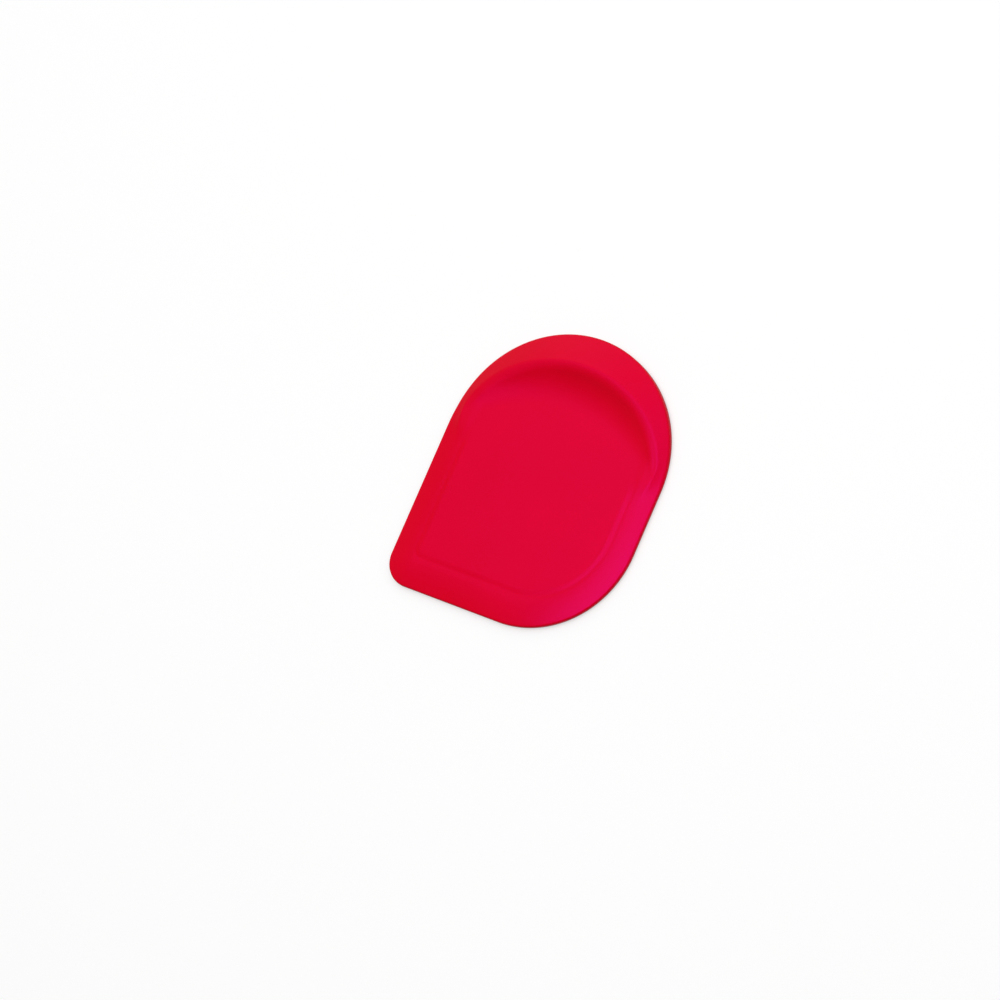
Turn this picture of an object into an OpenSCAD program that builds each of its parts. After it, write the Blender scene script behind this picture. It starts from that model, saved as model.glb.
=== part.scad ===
// Pan scraper for one hand: a flat arched plate of soft silicone, moulded all round a stiff core.
// It lies on its back. X runs across the face, Y runs from the scraping edge to the grip,
// and Z points out of the face. The small corner is on the left as the face is seen.

/* [Outline] */
// full width of the scraper, from side to side
body_w = 90; // [80:1:100]
// full length, from the scraping edge to the top of the grip
body_l = 108.5; // [100:0.5:120]
// radius of the small corner of the scraping edge
small_r = 10; // [10:0.5:14]
// radius of the large corner of the scraping edge
large_r = 39; // [28:1:42]

/* [Plate and lip] */
// thickness of the plate at its flat face
plate_t = 3.6; // [3.4:0.1:4.8]
// width of the sloping lip along both sides
lip_w = 9.4; // [7:0.2:10]
// extra width of the level shelf between the plate and the lip at the scraping edge
shelf_w = 2.5; // [1:0.5:4]
// height of the shoulder where the plate steps down to the lip
shoulder_h = 0.25; // [0.1:0.05:0.4]
// radius of the shoulder at the small corner
shoulder_r = 3; // [2:0.5:5]
// how far the lip falls from the shelf to its outer edge
lip_fall = 1; // [0.6:0.1:1.4]
// how far the back of the lip rises towards its outer edge
back_rise = 0.35; // [0.1:0.05:0.5]
// width of the bevel along the outer edges
edge_bevel = 0.4; // [0.2:0.1:0.6]
// how far the full edge of the grip runs down both sides, before it steps down to the lip
grip_run = 1.5; // [0.5:0.5:5]

/* [Grip ridge] */
// height of the ridge's crest above the flat face
crest_h = 5.3; // [4:0.1:6]
// distance from the crest to the outer edge at the top of the grip
crest_in = 13.1; // [12:0.1:15]
// radius of the domed band outside the crest
dome_r = 107; // [95:1:120]
// distance from the centre of the arch up to the centre of the dome
dome_up = 7; // [5:0.5:9]
// radius of the hollow that the fingers press against
scoop_r = 22; // [20:0.5:26]
// distance from the centre of the arch down to the axis of the hollow
scoop_down = 37; // [32:1:42]
// height of the rounded-off rim of the dome, at the outer edge
rim_h = 0.8; // [0.5:0.1:1.2]

/* [Core] */
// thickness of the silicone skin over the front and the back of the core
skin_t = 1.1; // [0.9:0.1:1.3]
// thickness of the silicone outside the core along the arch
arch_skin_t = 4; // [3:0.5:5]
// distance from the shoulder in to the edge of the core
core_inset = 1.2; // [0.8:0.2:2]
// diameter of the holes that lock the silicone through the core
lock_d = 6; // [4:0.5:8]

/* [Hidden] */
$fn = 96;
half_w = body_w / 2;
// the centre of the arch is the working origin, and this moves it to the middle of the box
arch_y = body_l / 2 - half_w;
edge_y = half_w - body_l;
shelf_z = plate_t - shoulder_h;
lip_z = shelf_z - lip_fall;
plate_half_w = half_w - lip_w;
plate_y = edge_y + lip_w + shelf_w;
plate_large_r = large_r - lip_w - shelf_w / 2;
// how far the blade's pieces run into the arch
overlap = 5;
// clear height for every cutter
tall = 40;

crest_r = half_w - crest_in;
dome_z = plate_t + crest_h - sqrt(pow(dome_r, 2) - pow(crest_r - dome_up, 2));
scoop_foot_r = crest_r + scoop_down - sqrt(2 * scoop_r * crest_h - pow(crest_h, 2));

// the rim sphere meets the wall of the arch rim_h below the dome, and falls at rim_slope there
rim_slope = 50;
wall_z = dome_z + sqrt(pow(dome_r, 2) - pow(half_w - dome_up, 2)) - rim_h;
rim_drop = half_w / tan(rim_slope);
rim_up = dome_up * rim_drop / dome_r;
rim_z = wall_z - rim_drop;
rim_r = sqrt(pow(half_w - rim_up, 2) + pow(rim_drop, 2));

core_half_w = plate_half_w - core_inset;
core_y = plate_y + core_inset;
core_arch_r = half_w - arch_skin_t;
// the holes stand in a grid: this part of the core's half width, and three rows
lock_column = 0.62 * core_half_w;
lock_rows = [0.1 * core_arch_r, 0.36 * core_y, 0.8 * core_y];

// a cross-section from X = start out to the edge at X = end, with height as Y: it is level at
// the given top, and over the last lip_w it falls in an arc to lip_z at the edge
module edge_section(start, end, top) {
    foot = end - lip_w;
    fall = top - lip_z;
    slope_r = (pow(lip_w, 2) + pow(fall, 2)) / (2 * fall);
    intersection() {
        polygon([
            [start, 0],
            [foot, 0],
            [end - edge_bevel, back_rise],
            [end, back_rise + edge_bevel],
            [end, lip_z - edge_bevel],
            [end - edge_bevel - fall, top],
            [start, top]
        ]);
        union() {
            translate([start, 0])
                square([foot - start, top]);
            translate([foot, top - slope_r])
                circle(slope_r, $fn = 720);
        }
    }
}

// a straight run of an edge along -Y, with its outer edge at X = 0 and a level part of the given
// inner width inboard of the slope
module edge_run(length, inner, top) {
    rotate([90, 0, 0])
        linear_extrude(height = length)
            edge_section(-lip_w - inner, 0, top);
}

// a quarter turn of the lip round a corner of radius r, from -Y to +X
module lip_corner(r) {
    rotate([0, 0, -90])
        rotate_extrude(angle = 90)
            edge_section(0, r, shelf_z);
}

// the outline of the raised plate, or of the core inside it
module plate_outline(side, low, small, large) {
    difference() {
        translate([-side, low])
            square([2 * side, overlap - low]);
        translate([-side, low])
            square(small);
        translate([side - large, low])
            square(large);
    }
    translate([-side + small, low + small])
        circle(small);
    intersection() {
        translate([side - large, low + large])
            circle(large);
        translate([side - large, low])
            square(large);
    }
}

module blade() {
    across = body_w - large_r;
    translate([half_w, 0, 0])
        edge_run(-edge_y - large_r, large_r - lip_w, shelf_z);
    translate([half_w - large_r, edge_y + large_r, 0])
        lip_corner(large_r);
    translate([half_w - large_r, edge_y, 0])
        rotate([0, 0, -90])
            edge_run(across - small_r, small_r - lip_w, shelf_z);
    translate([small_r - half_w, edge_y + small_r, 0])
        rotate([0, 0, -90])
            lip_corner(small_r);
    mirror([1, 0, 0])
        translate([half_w, 0, 0])
            edge_run(-edge_y - small_r, across - lip_w, shelf_z);
    linear_extrude(height = plate_t)
        plate_outline(plate_half_w, plate_y, shoulder_r, plate_large_r);
}

// the half disc behind the grip, with an edge that runs on from the lip's
module arch() {
    rotate_extrude(angle = 180)
        edge_section(0, half_w, plate_t);
    for (side = [0, 1])
        mirror([side, 0, 0])
            translate([half_w, 0, 0])
                edge_run(grip_run, half_w - lip_w, plate_t);
}

// everything above the hollow in front of the ridge, with its surface lowered by the given depth
module scoop_space(depth) {
    translate([0, -scoop_down, 0])
        rotate_extrude()
            union() {
                translate([0, plate_t - depth])
                    square([scoop_foot_r, tall]);
                intersection() {
                    translate([scoop_foot_r, plate_t + scoop_r])
                        circle(scoop_r + depth, $fn = 360);
                    translate([scoop_foot_r, 0])
                        square([scoop_r, scoop_r]);
                }
            }
}

// the crescent ridge, or the same form inside it by the given depths
module ridge(depth, side_depth) {
    side = half_w - side_depth;
    difference() {
        intersection() {
            translate([0, dome_up, dome_z])
                sphere(dome_r - depth, $fn = 360);
            translate([0, rim_up, rim_z])
                sphere(rim_r - depth, $fn = 360);
            rotate_extrude(angle = 180)
                polygon([
                    [0, depth],
                    [half_w - lip_w, depth],
                    [side - edge_bevel, depth + back_rise],
                    [side, depth + back_rise + edge_bevel],
                    [side, tall],
                    [0, tall]
                ]);
        }
        scoop_space(depth);
    }
}

module core_form() {
    difference() {
        union() {
            translate([0, 0, skin_t])
                linear_extrude(height = plate_t - 2 * skin_t) {
                    plate_outline(core_half_w, core_y, shoulder_r - core_inset, plate_large_r - core_inset);
                    intersection() {
                        circle(core_arch_r, $fn = 180);
                        translate([-half_w, 0])
                            square([body_w, body_w]);
                    }
                }
            ridge(skin_t, arch_skin_t);
        }
        for (y = lock_rows, x = [-lock_column, 0, lock_column])
            translate([x, y, 0])
                cylinder(h = tall, d = lock_d);
    }
}

module overmould() {
    color([0.72, 0.01, 0.05])
        translate([0, arch_y, 0])
            difference() {
                union() {
                    blade();
                    arch();
                    ridge(0, 0);
                }
                core_form();
            }
}

module core_plate() {
    color([0.75, 0.74, 0.7])
        translate([0, arch_y, 0])
            core_form();
}

overmould();
core_plate();
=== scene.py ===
import math

import bpy
import numpy as np
from mathutils import Matrix, Vector


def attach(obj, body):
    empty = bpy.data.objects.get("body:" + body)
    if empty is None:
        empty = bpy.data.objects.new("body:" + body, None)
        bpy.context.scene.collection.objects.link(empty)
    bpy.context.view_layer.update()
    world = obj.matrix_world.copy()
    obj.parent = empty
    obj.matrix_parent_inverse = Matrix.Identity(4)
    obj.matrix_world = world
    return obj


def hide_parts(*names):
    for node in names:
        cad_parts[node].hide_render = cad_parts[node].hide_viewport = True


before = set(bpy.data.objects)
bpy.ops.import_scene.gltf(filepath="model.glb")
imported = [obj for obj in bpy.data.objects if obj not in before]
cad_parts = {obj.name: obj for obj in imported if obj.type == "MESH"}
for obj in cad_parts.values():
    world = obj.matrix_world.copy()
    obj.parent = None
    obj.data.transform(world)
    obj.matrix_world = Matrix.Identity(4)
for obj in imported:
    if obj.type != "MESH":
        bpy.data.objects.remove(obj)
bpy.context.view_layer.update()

# Sizes of the scraper in millimetres, the same as in the part's source. Its forms are worked out
# from the centre of the arch, and the mesh is moved to the middle of the box at the end.
MM = 0.001
BODY_W = 90.0
BODY_L = 108.5
SMALL_R = 10.0
LARGE_R = 39.0
PLATE_T = 3.6
LIP_W = 9.4
SHELF_W = 2.5
SHOULDER_H = 0.25
SHOULDER_R = 3.0
LIP_FALL = 1.0
BACK_RISE = 0.35
CREST_H = 5.3
CREST_IN = 13.1
DOME_R = 107.0
DOME_UP = 7.0
SCOOP_R = 22.0
SCOOP_DOWN = 37.0

# How soft the silicone's own edges are: the radii of the outer edges, and how far the crest, the
# ridge's tips, the ridge's rim and the shoulder are rounded.
GRIP_EDGE_R = 1.3
LIP_EDGE_R = 0.7
BACK_EDGE_R = 0.9
CREST_SOFTNESS = 2.8
TIP_SOFTNESS = 0.3
RIM_SOFTNESS = 0.5
RIM_W = 3.0
SHOULDER_SOFTNESS = 2.2

# The height that is left of the shoulder, how far outside its outline it begins to rise, and the
# fine groove along its foot.
SOFT_SHOULDER_H = 0.13
SHOULDER_OUT = 0.3
GROOVE_OUT = 0.4
GROOVE_DEPTH = 0.02
GROOVE_W = 0.6

# The share of the lip's fall that is even over its width. The rest grows towards the edge.
LIP_TILT = 0.35

# The grip's full edge goes over into the lip this far below the centre of the arch, and over
# this length.
CHANGE_DOWN = 3.0
CHANGE_W = 10.0

# The tips of the ridge rise from this Y, and reach their full height over this length.
TIP_Y = -1.0
TIP_W = 15.0

# How far up from the scraping edge the silicone is rubbed dull, and how much at the most. The hand
# that holds the grip makes it rougher from this Y, measured from the middle of the box, and fully
# so after this length.
RUBBED_W = 7.0
RUBBED_SHARE = 0.35
HANDLED_Y = 0.0
HANDLED_W = 35.0
HANDLED_ROUGHER = 0.14

# How fine the grain of each material is, in grains per metre.
SILICONE_GRAIN = 2400.0
NYLON_GRAIN = 900.0

# The mesh's own spacing: along the outline, and across the crest and the shoulder, as far as
# FINE_REACH to both sides of them. Its rings close in on the point at CENTRE, and go over from
# the crest to the shoulder within TURN_Y of the centre of the arch.
SPACING = 0.35
FINE_SPACING = 0.15
FINE_REACH = 3.0
CENTRE = (0.0, -8.0)
TURN_Y = 6.0

# The camera's place and aim, in metres from the middle of the flat face, its roll in degrees, and
# its focal length as a multiple of the picture's width.
CAMERA_PLACE = (0.60247, -0.18063, 1.12682)
CAMERA_AIM = (-0.01178, -0.02221, 0)
CAMERA_ROLL = 53.8
CAMERA_REACH = 3.6

# How bright the room is, how much light the floor throws back, how pale it looks, and the share of
# its look that its shadows don't darken.
ROOM_LEVEL = 0.2
FLOOR_BACK = 0.55
FLOOR_SEEN = 0.98
FLOOR_GLOW = 0.55

# The two ways that the lamps are turned.
UPWARD = (0, 0, 1)
LENGTHWISE = (0, 1, 0)

HALF_W = BODY_W / 2
EDGE_Y = HALF_W - BODY_L
ARCH_Y = BODY_L / 2 - HALF_W
SHELF_Z = PLATE_T - SHOULDER_H
LIP_Z = SHELF_Z - LIP_FALL
PLATE_HALF_W = HALF_W - LIP_W
PLATE_Y = EDGE_Y + LIP_W + SHELF_W
PLATE_LARGE_R = LARGE_R - LIP_W - SHELF_W / 2
CREST_R = HALF_W - CREST_IN
DOME_Z = PLATE_T + CREST_H - math.sqrt(DOME_R**2 - (CREST_R - DOME_UP) ** 2)
SCOOP_FOOT_R = CREST_R + SCOOP_DOWN - math.sqrt(2 * SCOOP_R * CREST_H - CREST_H**2)


def smoothstep(t):
    """0 below t = 0 and 1 above t = 1, with an even change between."""
    t = np.clip(t, 0.0, 1.0)
    return t * t * (3 - 2 * t)


def soft_min(a, b, k):
    """The lower of a and b, rounded where they are closer than k."""
    h = np.maximum(k - np.abs(a - b), 0.0) / np.maximum(k, 1e-9)
    return np.minimum(a, b) - h * h * k / 4


def inside_outline(x, y, side, low, small, large):
    """How far a point lies inside an outline with a straight lower edge and two round corners."""
    d = np.minimum(side - np.abs(x), y - low)
    for corner_x, r, beyond in (
        (-side + small, small, x < -side + small),
        (side - large, large, x > side - large),
    ):
        in_corner = beyond & (y < low + r)
        d = np.where(in_corner, r - np.hypot(x - corner_x, y - low - r), d)
    return d


def edge_distance(x, y):
    """How far a point lies inside the scraper's own outline."""
    lower = inside_outline(x, y, HALF_W, EDGE_Y, SMALL_R, LARGE_R)
    return np.where(y > 0, HALF_W - np.hypot(x, y), lower)


def plate_distance(x, y):
    """How far a point lies inside the shoulder round the flat plate."""
    return inside_outline(x, y, PLATE_HALF_W, PLATE_Y, SHOULDER_R, PLATE_LARGE_R)


def dome_height(x, y):
    """The domed band outside the crest, as a height over the flat face."""
    return DOME_Z + np.sqrt(DOME_R**2 - x**2 - (y - DOME_UP) ** 2) - PLATE_T


def scoop_height(x, y):
    """The hollow for the fingers, as a height over the flat face."""
    s = np.clip(np.hypot(x, y + SCOOP_DOWN) - SCOOP_FOOT_R, 0.0, 0.98 * SCOOP_R)
    return SCOOP_R - np.sqrt(SCOOP_R**2 - s**2)


def edge_slope(x, y, top):
    """The slope that falls from the given height to the lip's height at the edge, ever steeper."""
    fall = top - LIP_Z
    t = 1 - np.clip(edge_distance(x, y), 0.0, LIP_W) / LIP_W
    return top - fall * (LIP_TILT * t + (1 - LIP_TILT) * t * t)


def grip_z(x, y):
    """The front face round the arch: the ridge, and the edge that runs on from the lip's. The
    crest is rounded more where it is high."""
    dome = dome_height(x, y)
    scoop = scoop_height(x, y)
    low = np.clip(np.minimum(dome, scoop), 0.0, None)
    ridge = soft_min(dome, scoop, TIP_SOFTNESS + CREST_SOFTNESS * low / (low + 1.0))
    ridge = PLATE_T + np.where(ridge > 0, ridge * smoothstep((y - TIP_Y) / TIP_W), ridge)
    near_rim = smoothstep((LIP_W + 1.0 - edge_distance(x, y)) / RIM_W)
    return -soft_min(-ridge, -edge_slope(x, y, PLATE_T), RIM_SOFTNESS * near_rim)


def blade_z(x, y):
    """The front face below the arch: the flat plate, the shoulder round it and the lip."""
    lip = edge_slope(x, y, PLATE_T - SOFT_SHOULDER_H)
    inside = plate_distance(x, y)
    on_plate = smoothstep((inside + SHOULDER_OUT) / SHOULDER_SOFTNESS)
    groove = GROOVE_DEPTH * np.exp(-(((inside + GROOVE_OUT) / GROOVE_W) ** 2))
    return lip + (PLATE_T - lip) * on_plate - groove


def front_z(x, y):
    """The height of the front face."""
    below_arch = smoothstep(0.5 - (y + CHANGE_DOWN) / CHANGE_W)
    blade = blade_z(x, y)
    grip = grip_z(x, y)
    return grip + (blade - grip) * below_arch


def back_z(x, y):
    """The height of the back, which is flat but for its rise under the lip."""
    d = np.clip(edge_distance(x, y), 0.0, LIP_W)
    return BACK_RISE * (1 - d / LIP_W)


def outline():
    """Points along the outer edge, and the outward direction at each."""
    points, outward = [], []

    def straight(start, end, normal):
        count = round(math.dist(start, end) / SPACING)
        for i in range(count):
            t = i / count
            points.append((start[0] + (end[0] - start[0]) * t, start[1] + (end[1] - start[1]) * t))
            outward.append(normal)

    def round_corner(cx, cy, r, start, turn):
        count = round(r * abs(math.radians(turn)) / SPACING)
        for i in range(count):
            a = math.radians(start + turn * i / count)
            points.append((cx + r * math.cos(a), cy + r * math.sin(a)))
            outward.append((math.cos(a), math.sin(a)))

    round_corner(0, 0, HALF_W, 0, 180)
    straight((-HALF_W, 0), (-HALF_W, EDGE_Y + SMALL_R), (-1, 0))
    round_corner(-HALF_W + SMALL_R, EDGE_Y + SMALL_R, SMALL_R, 180, 90)
    straight((-HALF_W + SMALL_R, EDGE_Y), (HALF_W - LARGE_R, EDGE_Y), (0, -1))
    round_corner(HALF_W - LARGE_R, EDGE_Y + LARGE_R, LARGE_R, 270, 90)
    straight((HALF_W, EDGE_Y + LARGE_R), (HALF_W, 0), (1, 0))
    return np.array(points), np.array(outward)


def first_crossing(values, at):
    """For each column of values, where along at it first goes from negative to positive."""
    up = (values[:-1] < 0) & (values[1:] >= 0)
    found = up.any(axis=0)
    i = up.argmax(axis=0)
    j = np.arange(values.shape[1])
    low, high = values[i, j], values[i + 1, j]
    where = at[i] + (at[i + 1] - at[i]) * (-low / np.where(high == low, 1, high - low))
    return np.where(found, where, np.nan)


def feature_line(rim, reach):
    """Where each line from the rim to the centre crosses the crest or the shoulder, as a share of
    its length. Where one ends and the other begins, the share goes over evenly."""
    at = np.linspace(0, 0.9, 1200)
    x = rim[:, 0] + at[:, None] * reach[:, 0]
    y = rim[:, 1] + at[:, None] * reach[:, 1]
    crest = first_crossing(dome_height(x, y) - scoop_height(x, y), at)
    shoulder = first_crossing(plate_distance(x, y), at)
    line = np.where(rim[:, 1] < -TURN_Y, shoulder, np.nan)
    line = np.where(rim[:, 1] > TURN_Y, crest, line)
    known = np.flatnonzero(~np.isnan(line))
    return np.interp(np.arange(len(line)), known, line[known], period=len(line))


def front_rings(points, outward, start, centre):
    """Rings of points over the front face, from an inset of the outline in to the centre."""
    rim = points - outward * start[:, None]
    reach = centre - rim
    line = feature_line(rim, reach)
    spread = FINE_REACH / np.linalg.norm(reach, axis=1)
    outer, inner = line - spread, line + spread
    outer_count, inner_count = 22, 44
    fine_count = round(2 * FINE_REACH / FINE_SPACING)
    shares = [outer * i / outer_count for i in range(outer_count)]
    shares += [outer + (inner - outer) * i / fine_count for i in range(fine_count)]
    for i in range(inner_count):
        t = i / inner_count
        shares.append(inner + (1 - inner) * (t + t * t) / 2)
    rings = []
    for s in shares:
        x = rim[:, 0] + s * reach[:, 0]
        y = rim[:, 1] + s * reach[:, 1]
        rings.append(np.column_stack([x, y, front_z(x, y)]))
    return rings


def back_rings(points, outward, start, centre):
    """Rings of points over the back."""
    rim = points - outward * start[:, None]
    rings = []
    for share in (0.0, 0.03, 0.06, 0.1, 0.14, 0.18, 0.22, 0.27, 0.33, 0.45, 0.6, 0.8):
        x, y = (rim + (centre - rim) * share).T
        rings.append(np.column_stack([x, y, back_z(x, y)]))
    return rings


def rounding(points, outward, radius, height, sign):
    """Rings round one long edge, from the side wall to the face, and how far in the last one lies.
    sign is 1 on the front face and -1 on the back."""
    probe = points - outward * radius[:, None]
    step = 0.1
    near = height(*(probe + outward * step).T)
    far = height(*(probe - outward * step).T)
    slope = np.arctan(sign * (far - near) / (2 * step))
    inset = radius * (1 - np.sin(slope))
    meet = points - outward * inset[:, None]
    middle = height(*meet.T) - sign * radius * np.cos(slope)
    rings = []
    count = 10
    for i in range(count):
        a = math.pi / 2 - (math.pi / 2 - slope) * i / count
        p = points - outward * (radius * (1 - np.sin(a)))[:, None]
        rings.append(np.column_stack([p, middle + sign * radius * np.cos(a)]))
    return rings, inset


def scraper_skin():
    """The silicone body as one closed mesh."""
    points, outward = outline()
    centre = np.array(CENTRE)
    grip = smoothstep((points[:, 1] + 2) / 8)
    front_r = LIP_EDGE_R + (GRIP_EDGE_R - LIP_EDGE_R) * grip
    back_r = np.full(len(points), BACK_EDGE_R)
    front_edge, front_inset = rounding(points, outward, front_r, front_z, 1)
    back_edge, back_inset = rounding(points, outward, back_r, back_z, -1)
    front = front_rings(points, outward, front_inset, centre)
    back = back_rings(points, outward, back_inset, centre)
    rings = front[::-1] + front_edge[::-1]
    top, bottom = front_edge[0], back_edge[0]
    wall_count = 8
    for i in range(1, wall_count):
        rings.append(top + (bottom - top) * i / wall_count)
    rings += back_edge + back
    n = len(points)
    vertices = np.concatenate(rings)
    vertices = np.vstack([vertices, [*centre, front_z(*centre[:, None])[0]], [*centre, 0.0]])
    faces = []
    for k in range(len(rings) - 1):
        a, b = k * n, (k + 1) * n
        faces += [(a + i, b + i, b + (i + 1) % n, a + (i + 1) % n) for i in range(n)]
    last = (len(rings) - 1) * n
    faces += [(len(vertices) - 2, i, (i + 1) % n) for i in range(n)]
    faces += [(len(vertices) - 1, last + (i + 1) % n, last + i) for i in range(n)]
    vertices[:, 1] += ARCH_Y
    mesh = bpy.data.meshes.new("scraper_skin")
    mesh.from_pydata((vertices * MM).tolist(), [], faces)
    mesh.validate()
    mesh.shade_smooth()
    skin = bpy.data.objects.new("scraper_skin", mesh)
    bpy.context.scene.collection.objects.link(skin)
    return skin


def new_material(name):
    material = bpy.data.materials.new(name)
    material.use_nodes = True
    nodes = material.node_tree.nodes
    nodes.clear()
    output = nodes.new("ShaderNodeOutputMaterial")
    return material, nodes, material.node_tree.links, output


def fine_grain_group():
    """A moulded surface at two scales: slow clouds, and grain as fine as the mould's own finish."""
    group = bpy.data.node_groups.new("fine_grain", "ShaderNodeTree")
    group.interface.new_socket("Place", in_out="INPUT", socket_type="NodeSocketVector")
    group.interface.new_socket("Grain Scale", in_out="INPUT", socket_type="NodeSocketFloat")
    group.interface.new_socket("Clouds", in_out="OUTPUT", socket_type="NodeSocketFloat")
    group.interface.new_socket("Grain", in_out="OUTPUT", socket_type="NodeSocketFloat")
    nodes, links = group.nodes, group.links
    entry = nodes.new("NodeGroupInput")
    leave = nodes.new("NodeGroupOutput")
    clouds = nodes.new("ShaderNodeTexNoise")
    clouds.inputs["Scale"].default_value = 38.0
    clouds.inputs["Detail"].default_value = 4.0
    grain = nodes.new("ShaderNodeTexNoise")
    grain.inputs["Detail"].default_value = 2.0
    links.new(entry.outputs["Place"], clouds.inputs["Vector"])
    links.new(entry.outputs["Place"], grain.inputs["Vector"])
    links.new(entry.outputs["Grain Scale"], grain.inputs["Scale"])
    links.new(clouds.outputs["Fac"], leave.inputs["Clouds"])
    links.new(grain.outputs["Fac"], leave.inputs["Grain"])
    return group


def add_grain(nodes, links, group, scale):
    """The place on the part, and the grain there."""
    place = nodes.new("ShaderNodeTexCoord")
    node = nodes.new("ShaderNodeGroup")
    node.node_tree = group
    node.inputs["Grain Scale"].default_value = scale
    links.new(place.outputs["Object"], node.inputs["Place"])
    return place, node


def add_tint(nodes, links, factor, low, high):
    """A colour between two others."""
    tint = nodes.new("ShaderNodeMix")
    tint.data_type = "RGBA"
    tint.inputs["A"].default_value = (*low, 1)
    tint.inputs["B"].default_value = (*high, 1)
    links.new(factor, tint.inputs["Factor"])
    return tint.outputs["Result"]


def add_range(nodes, links, value, low, high, from_low=0.0, from_high=1.0):
    """The value from one range taken over into another."""
    span = nodes.new("ShaderNodeMapRange")
    span.inputs["From Min"].default_value = from_low
    span.inputs["From Max"].default_value = from_high
    span.inputs["To Min"].default_value = low
    span.inputs["To Max"].default_value = high
    links.new(value, span.inputs["Value"])
    return span.outputs["Result"]


def along_y(nodes, links, place, start, end, at_start, at_end):
    """A value that changes between two places along Y, given in millimetres."""
    axes = nodes.new("ShaderNodeSeparateXYZ")
    links.new(place.outputs["Object"], axes.inputs["Vector"])
    return add_range(nodes, links, axes.outputs["Y"], at_start, at_end, start * MM, end * MM)


def silicone_colour(nodes, links, place, grain):
    """A deep red with faint clouds and speckles, a little duller along the scraping edge."""
    red = add_tint(nodes, links, grain.outputs["Clouds"], (0.70, 0.0, 0.006), (0.76, 0.0001, 0.008))
    deep = add_tint(nodes, links, grain.outputs["Grain"], (0.94, 0.94, 0.94), (1.0, 1.0, 1.0))
    speckled = nodes.new("ShaderNodeMix")
    speckled.data_type = "RGBA"
    speckled.blend_type = "MULTIPLY"
    speckled.inputs["Factor"].default_value = 1.0
    links.new(red, speckled.inputs["A"])
    links.new(deep, speckled.inputs["B"])
    edge = -BODY_L / 2
    rubbed = along_y(nodes, links, place, edge, edge + RUBBED_W, RUBBED_SHARE, 0.0)
    dulled = nodes.new("ShaderNodeMix")
    dulled.data_type = "RGBA"
    dulled.inputs["B"].default_value = (0.7, 0.002, 0.009, 1)
    links.new(rubbed, dulled.inputs["Factor"])
    links.new(speckled.outputs["Result"], dulled.inputs["A"])
    return dulled.outputs["Result"]


def silicone_roughness(nodes, links, place, grain):
    """A satin surface, more matt towards the top of the grip."""
    satin = add_range(nodes, links, grain.outputs["Clouds"], 0.27, 0.32, 0.3, 0.7)
    handled = along_y(nodes, links, place, HANDLED_Y, HANDLED_Y + HANDLED_W, 0.0, 1.0)
    matt = nodes.new("ShaderNodeMath")
    matt.operation = "MULTIPLY_ADD"
    matt.inputs[1].default_value = HANDLED_ROUGHER
    links.new(handled, matt.inputs[0])
    links.new(satin, matt.inputs[2])
    return matt.outputs["Value"]


def silicone_material(group):
    material, nodes, links, output = new_material("red_silicone")
    shader = nodes.new("ShaderNodeBsdfPrincipled")
    links.new(shader.outputs["BSDF"], output.inputs["Surface"])
    place, grain = add_grain(nodes, links, group, SILICONE_GRAIN)
    links.new(silicone_colour(nodes, links, place, grain), shader.inputs["Base Color"])
    links.new(silicone_roughness(nodes, links, place, grain), shader.inputs["Roughness"])
    bump = nodes.new("ShaderNodeBump")
    bump.inputs["Strength"].default_value = 0.18
    bump.inputs["Distance"].default_value = 0.00005
    links.new(grain.outputs["Grain"], bump.inputs["Height"])
    links.new(bump.outputs["Normal"], shader.inputs["Normal"])
    shader.inputs["Specular Tint"].default_value = (1.0, 0.03, 0.8, 1)
    shader.inputs["IOR"].default_value = 1.4
    return material


def nylon_material(group):
    material, nodes, links, output = new_material("core_nylon")
    shader = nodes.new("ShaderNodeBsdfPrincipled")
    links.new(shader.outputs["BSDF"], output.inputs["Surface"])
    grain = add_grain(nodes, links, group, NYLON_GRAIN)[1]
    natural = add_tint(nodes, links, grain.outputs["Clouds"], (0.66, 0.65, 0.6), (0.72, 0.71, 0.66))
    links.new(natural, shader.inputs["Base Color"])
    satin = add_range(nodes, links, grain.outputs["Grain"], 0.5, 0.6)
    links.new(satin, shader.inputs["Roughness"])
    return material


def floor_material():
    """A plain floor that looks nearly white, but throws less light back on to the scraper."""
    material, nodes, links, output = new_material("pale_floor")
    matte = nodes.new("ShaderNodeBsdfDiffuse")
    shade = nodes.new("ShaderNodeMix")
    shade.data_type = "RGBA"
    shade.inputs["A"].default_value = (FLOOR_BACK, FLOOR_BACK, FLOOR_BACK, 1)
    shade.inputs["B"].default_value = (FLOOR_SEEN, FLOOR_SEEN, FLOOR_SEEN, 1)
    links.new(shade.outputs["Result"], matte.inputs["Color"])
    glow = nodes.new("ShaderNodeEmission")
    glow.inputs["Strength"].default_value = 1.0
    path = nodes.new("ShaderNodeLightPath")
    share = nodes.new("ShaderNodeMath")
    share.operation = "MULTIPLY"
    share.inputs[1].default_value = FLOOR_GLOW
    links.new(path.outputs["Is Camera Ray"], share.inputs[0])
    links.new(path.outputs["Is Camera Ray"], shade.inputs["Factor"])
    mix = nodes.new("ShaderNodeMixShader")
    links.new(share.outputs["Value"], mix.inputs["Fac"])
    links.new(matte.outputs["BSDF"], mix.inputs[1])
    links.new(glow.outputs["Emission"], mix.inputs[2])
    links.new(mix.outputs["Shader"], output.inputs["Surface"])
    return material


def add_floor():
    size = 6.0
    mesh = bpy.data.meshes.new("floor")
    h = size / 2
    mesh.from_pydata([(-h, -h, 0), (h, -h, 0), (h, h, 0), (-h, h, 0)], [], [(0, 1, 2, 3)])
    floor = bpy.data.objects.new("floor", mesh)
    floor.data.materials.append(floor_material())
    bpy.context.scene.collection.objects.link(floor)


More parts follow.
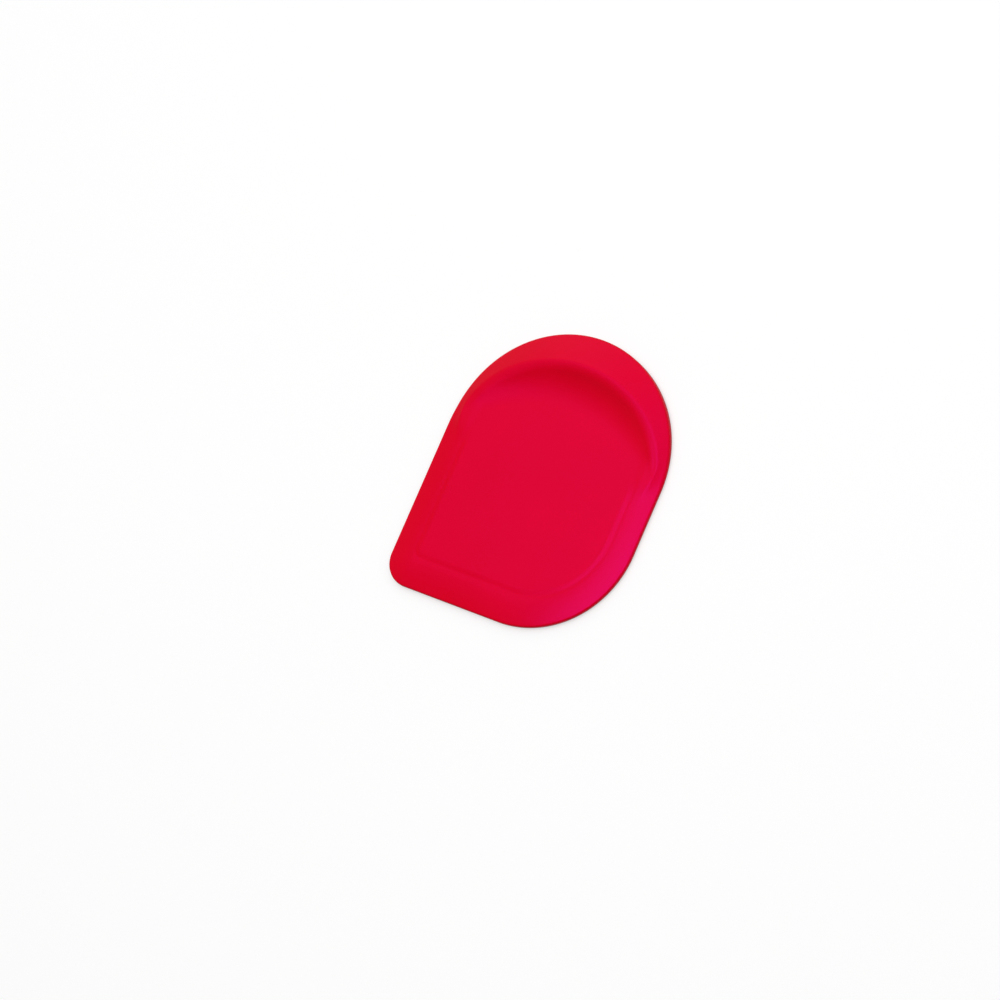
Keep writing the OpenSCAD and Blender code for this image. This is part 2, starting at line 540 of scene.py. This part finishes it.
def add_world():
    """A dim, even room, with a white backdrop in the camera's view."""
    world = bpy.data.worlds.new("pale_room")
    bpy.context.scene.world = world
    world.use_nodes = True
    nodes, links = world.node_tree.nodes, world.node_tree.links
    nodes.clear()
    output = nodes.new("ShaderNodeOutputWorld")
    room = nodes.new("ShaderNodeBackground")
    room.inputs["Strength"].default_value = ROOM_LEVEL
    backdrop = nodes.new("ShaderNodeBackground")
    backdrop.inputs["Strength"].default_value = 1.0
    for background in (room, backdrop):
        background.inputs["Color"].default_value = (1, 1, 1, 1)
    path = nodes.new("ShaderNodeLightPath")
    mix = nodes.new("ShaderNodeMixShader")
    links.new(path.outputs["Is Camera Ray"], mix.inputs["Fac"])
    links.new(room.outputs["Background"], mix.inputs[1])
    links.new(backdrop.outputs["Background"], mix.inputs[2])
    links.new(mix.outputs["Shader"], output.inputs["Surface"])


def add_softbox(name, direction, distance, width, length, along, level):
    """A lamp that looks at the scraper, with its length turned as near to along as can be.
    level is about how bright it makes a white surface that faces it."""
    lamp = bpy.data.lights.new(name, "AREA")
    lamp.shape = "RECTANGLE"
    lamp.size = width
    lamp.size_y = length
    lamp.energy = level * math.pi**2 * distance**2
    box = bpy.data.objects.new(name, lamp)
    back = Vector(direction).normalized()
    long_side = Vector(along)
    long_side = (long_side - back * back.dot(long_side)).normalized()
    turn = Matrix((long_side.cross(back), long_side, back)).transposed()
    box.matrix_world = Matrix.Translation(back * distance) @ turn.to_4x4()
    bpy.context.scene.collection.objects.link(box)


def add_camera():
    """The photograph's view: the scraper leans back against the tray, so the camera is rolled."""
    face_centre = Vector((0, ARCH_Y, PLATE_T)) * MM
    place = face_centre + Vector(CAMERA_PLACE)
    aim = face_centre + Vector(CAMERA_AIM)
    roll = math.radians(CAMERA_ROLL)
    forward = (aim - place).normalized()
    level_right = forward.cross(Vector((0, 0, 1))).normalized()
    level_up = level_right.cross(forward)
    up = math.cos(roll) * level_up + math.sin(roll) * level_right
    right = forward.cross(up)
    lens = bpy.data.cameras.new("camera")
    lens.sensor_width = 36.0
    lens.lens = CAMERA_REACH * lens.sensor_width
    camera = bpy.data.objects.new("camera", lens)
    turn = Matrix((right, up, -forward)).transposed()
    camera.matrix_world = Matrix.Translation(place) @ turn.to_4x4()
    bpy.context.scene.collection.objects.link(camera)
    bpy.context.scene.camera = camera


skin = scraper_skin()
fine_grain = fine_grain_group()
skin.data.materials.append(silicone_material(fine_grain))
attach(skin, "root")
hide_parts("overmould")

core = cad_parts["core_plate"]
core.data.materials.clear()
core.data.materials.append(nylon_material(fine_grain))

add_floor()
add_world()
add_softbox("window_light", (-0.14, 0.6, 0.78), 2.0, 2.6, 2.6, UPWARD, 0.49)
add_softbox("top_light", (-0.08, -0.04, 1.0), 1.4, 0.62, 0.68, LENGTHWISE, 0.37)
add_softbox("right_light", (0.6, 0.34, 0.72), 2.0, 2.2, 2.2, UPWARD, 0.34)
add_softbox("left_light", (-0.78, 0.32, 0.54), 2.0, 2.4, 2.4, UPWARD, 0.12)
add_camera()

scene = bpy.context.scene
scene.view_settings.view_transform = "Standard"
